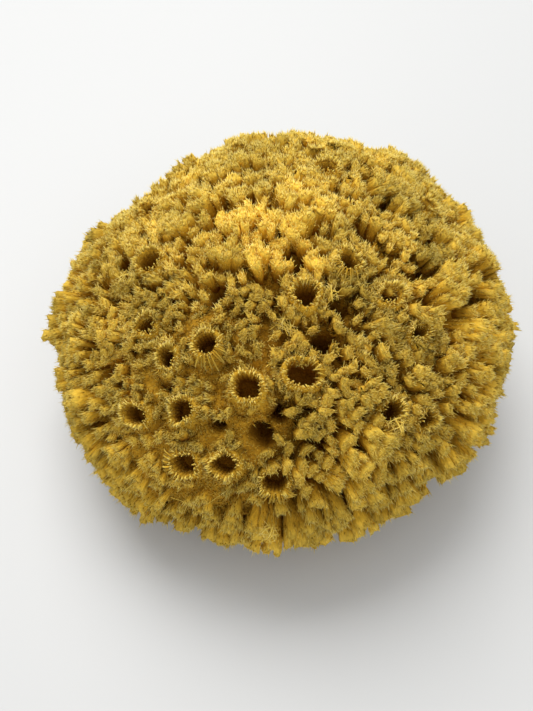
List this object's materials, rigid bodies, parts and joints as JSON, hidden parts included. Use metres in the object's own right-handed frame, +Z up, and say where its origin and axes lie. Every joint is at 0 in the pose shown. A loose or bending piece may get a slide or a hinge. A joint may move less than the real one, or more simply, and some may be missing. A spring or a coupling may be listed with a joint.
{
  "type": "natural bath sponge",
  "caption": "Domed natural bath sponge covered in upright tufts, with raised open vents and deep gaps, cut flat underneath to rest on.",
  "frame": {"origin": "middle of the flat cut that the sponge rests on, under the middle of its outline", "axes": "+Z up, square to the flat cut and along the short way through the dome; the vents crowd towards -Y, the side nearest the viewer"},
  "size_m": [0.1503, 0.1501, 0.0874],
  "materials": {
    "sponge_fibre": "dry golden sponge fibre, matt, soft and springy, browner down in the gaps"
  },
  "bodies": {
    "root": {"sponge": "sponge_fibre"}
  },
  "joints": []
}
